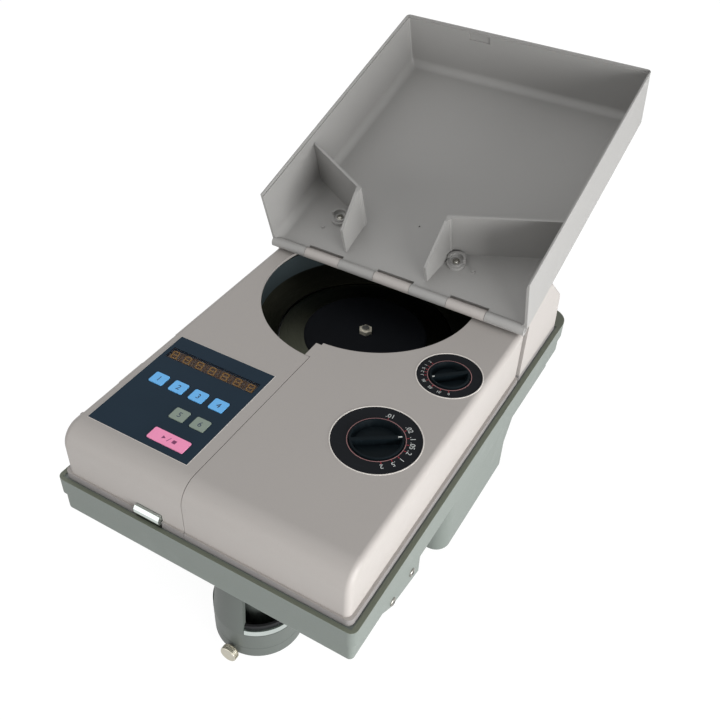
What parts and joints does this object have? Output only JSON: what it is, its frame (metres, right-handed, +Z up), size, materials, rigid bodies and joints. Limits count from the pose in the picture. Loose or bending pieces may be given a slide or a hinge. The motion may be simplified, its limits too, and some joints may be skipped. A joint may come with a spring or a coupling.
{
  "type": "coin counter",
  "caption": "Portable electric coin counter with a key panel, selector dials, a bowl with a turning disc, a hinged hopper lid and a coin chute with a bag clamp.",
  "frame": {"origin": "middle of the bounding box's underside, on the plane of the feet", "axes": "+X to the right as the user faces the keys, +Y to the rear towards the lid, +Z up"},
  "size_m": [0.27, 0.5711, 0.3269],
  "materials": {
    "cover_grey": "fine grain, satin",
    "case_green_grey": "fine grain, satin",
    "lid_grey": "fine grain, satin",
    "panel_navy": "printed film, soft gloss",
    "window_brown": "tinted lens",
    "key_blue": "satin",
    "key_grey": "satin",
    "key_pink": "satin",
    "dial_black": "satin",
    "knob_black": "satin",
    "bowl_paint": "semi gloss",
    "bowl_steel": "turned round the bowl",
    "pad_black": "dull",
    "nut_steel": "bright",
    "shaft_steel": "ground",
    "deck_steel": "zinc plated",
    "bronze": "sintered",
    "pulley_aluminium": "turned",
    "motor_iron": "semi gloss",
    "rubber_black": "dull",
    "board_green": "solder mask",
    "sensor_black": "moulded",
    "digits_dark": "moulded",
    "switch_grey": "moulded",
    "iron_core": "varnished laminations",
    "chrome": "bright",
    "nickel": "nickel plated",
    "screw_steel": "zinc plated"
  },
  "bodies": {
    "case": {"lower_case": "case_green_grey", "left_cover": "cover_grey", "right_cover": "cover_grey", "rear_block": "cover_grey", "hinge_pin": "shaft_steel", "bowl_wall": "bowl_paint", "bowl_cone": "bowl_steel", "deck_plate": "deck_steel", "shaft_bearings": "bronze", "drive_motor": "motor_iron", "drive_belt": "rubber_black", "feed_belt": "rubber_black", "feed_motor": "motor_iron", "coin_track": "deck_steel", "coin_sensor": "sensor_black", "large_dial_plate": "dial_black", "small_dial_plate": "dial_black", "control_panel": "panel_navy", "display_window": "window_brown", "display_module": "digits_dark", "display_board": "board_green", "key_switches": "switch_grey", "side_screws": "screw_steel", "feet": "rubber_black", "chute_tube": "case_green_grey", "bag_collar": "case_green_grey", "power_inlet": "sensor_black", "main_board": "board_green", "transformer": "iron_core"},
    "lid": {"hopper_lid": "lid_grey", "left_guide": "lid_grey", "right_guide": "lid_grey", "guide_screws": "screw_steel"},
    "coin_wheel": {"coin_disc": "bowl_steel", "disc_pad": "pad_black", "disc_nut": "nut_steel", "disc_shaft": "shaft_steel", "driven_pulley": "pulley_aluminium"},
    "motor_rotor": {"motor_pulley": "pulley_aluminium"},
    "feed_drive": {"feed_roller": "pulley_aluminium"},
    "feed_idler": {"idler_roller": "pulley_aluminium"},
    "large_dial": {"large_knob": "knob_black", "width_cam": "bronze"},
    "small_dial": {"small_knob": "knob_black", "gate_cam": "bronze"},
    "rail": {"width_rail": "deck_steel"},
    "gate": {"thickness_gate": "deck_steel"},
    "clamp": {"clamp_ring": "chrome", "ring_rubber": "rubber_black"},
    "thumb": {"thumb_screw": "nickel"},
    "catch": {"front_catch": "chrome"},
    "rocker": {"power_rocker": "sensor_black"},
    "key_blue_1_cap": {"key_blue_1": "key_blue"},
    "key_blue_2_cap": {"key_blue_2": "key_blue"},
    "key_blue_3_cap": {"key_blue_3": "key_blue"},
    "key_blue_4_cap": {"key_blue_4": "key_blue"},
    "key_grey_1_cap": {"key_grey_1": "key_grey"},
    "key_grey_2_cap": {"key_grey_2": "key_grey"},
    "key_pink_cap": {"key_pink": "key_pink"}
  },
  "joints": [
    {"name": "lid_hinge", "type": "hinge", "parent": "case", "child": "lid", "pos_m": [0, 0.01281, 0.1835], "axis": [1, 0, 0], "range_deg": [0, 120]},
    {"name": "disc_spin", "type": "hinge", "parent": "case", "child": "coin_wheel", "pos_m": [-0.0125, -0.01079, 0.13], "axis": [0, 0, 1], "continuous": true},
    {"name": "motor_spin", "type": "hinge", "parent": "case", "child": "motor_rotor", "pos_m": [0.062, -0.05479, 0.1], "axis": [0, 0, 1], "continuous": true},
    {"name": "feed_spin", "type": "hinge", "parent": "case", "child": "feed_drive", "pos_m": [0.002, -0.12679, 0.1418], "axis": [1, 0, 0], "continuous": true},
    {"name": "idler_spin", "type": "hinge", "parent": "case", "child": "feed_idler", "pos_m": [0.002, -0.19879, 0.1418], "axis": [1, 0, 0], "continuous": true},
    {"name": "large_dial_turn", "type": "hinge", "parent": "case", "child": "large_dial", "pos_m": [0.0804, -0.159, 0.1738], "axis": [0, -0.0153, 0.9999], "range_deg": [-88, 63]},
    {"name": "rail_slide", "type": "slide", "parent": "case", "child": "rail", "axis": [-1, 0, 0], "range_m": [-0.00614, 0.0044]},
    {"name": "small_dial_turn", "type": "hinge", "parent": "case", "child": "small_dial", "pos_m": [0.0958, -0.06551, 0.17523], "axis": [0, -0.0153, 0.9999], "range_deg": [-61, 71]},
    {"name": "gate_slide", "type": "slide", "parent": "case", "child": "gate", "axis": [0, -1, 0], "range_m": [-0.0016, 0.00186]},
    {"name": "clamp_lift", "type": "slide", "parent": "case", "child": "clamp", "axis": [0, 0, 1], "range_m": [0, 0.03]},
    {"name": "thumb_turn", "type": "hinge", "parent": "case", "child": "thumb", "pos_m": [0.025, -0.28179, 0.0095], "axis": [0, 1, 0], "continuous": true},
    {"name": "catch_press", "type": "slide", "parent": "case", "child": "catch", "axis": [0, 1, 0], "range_m": [0, 0.002], "stiffness_N_per_m": 500, "springref_m": -0.002},
    {"name": "rocker_tip", "type": "hinge", "parent": "case", "child": "rocker", "pos_m": [-0.066, 0.12311, 0.073], "axis": [1, 0, 0], "range_deg": [-16, 0]},
    {"name": "key_blue_1_press", "type": "slide", "parent": "case", "child": "key_blue_1_cap", "axis": [0, 0.0153, -0.9999], "range_m": [0, 0.0005], "stiffness_N_per_m": 400, "springref_m": -0.001},
    {"name": "key_blue_2_press", "type": "slide", "parent": "case", "child": "key_blue_2_cap", "axis": [0, 0.0153, -0.9999], "range_m": [0, 0.0005], "stiffness_N_per_m": 400, "springref_m": -0.001},
    {"name": "key_blue_3_press", "type": "slide", "parent": "case", "child": "key_blue_3_cap", "axis": [0, 0.0153, -0.9999], "range_m": [0, 0.0005], "stiffness_N_per_m": 400, "springref_m": -0.001},
    {"name": "key_blue_4_press", "type": "slide", "parent": "case", "child": "key_blue_4_cap", "axis": [0, 0.0153, -0.9999], "range_m": [0, 0.0005], "stiffness_N_per_m": 400, "springref_m": -0.001},
    {"name": "key_grey_1_press", "type": "slide", "parent": "case", "child": "key_grey_1_cap", "axis": [0, 0.0153, -0.9999], "range_m": [0, 0.0005], "stiffness_N_per_m": 400, "springref_m": -0.001},
    {"name": "key_grey_2_press", "type": "slide", "parent": "case", "child": "key_grey_2_cap", "axis": [0, 0.0153, -0.9999], "range_m": [0, 0.0005], "stiffness_N_per_m": 400, "springref_m": -0.001},
    {"name": "key_pink_press", "type": "slide", "parent": "case", "child": "key_pink_cap", "axis": [0, 0.0153, -0.9999], "range_m": [0, 0.0005], "stiffness_N_per_m": 400, "springref_m": -0.001}
  ],
  "couplings": [
    {"joint": "motor_spin", "follows": "disc_spin", "ratio": 3.1111},
    {"joint": "idler_spin", "follows": "feed_spin", "ratio": 1},
    {"joint": "large_dial_turn", "follows": "rail_slide", "rad_per_m": 250},
    {"joint": "small_dial_turn", "follows": "gate_slide", "rad_per_m": 666.67}
  ]
}
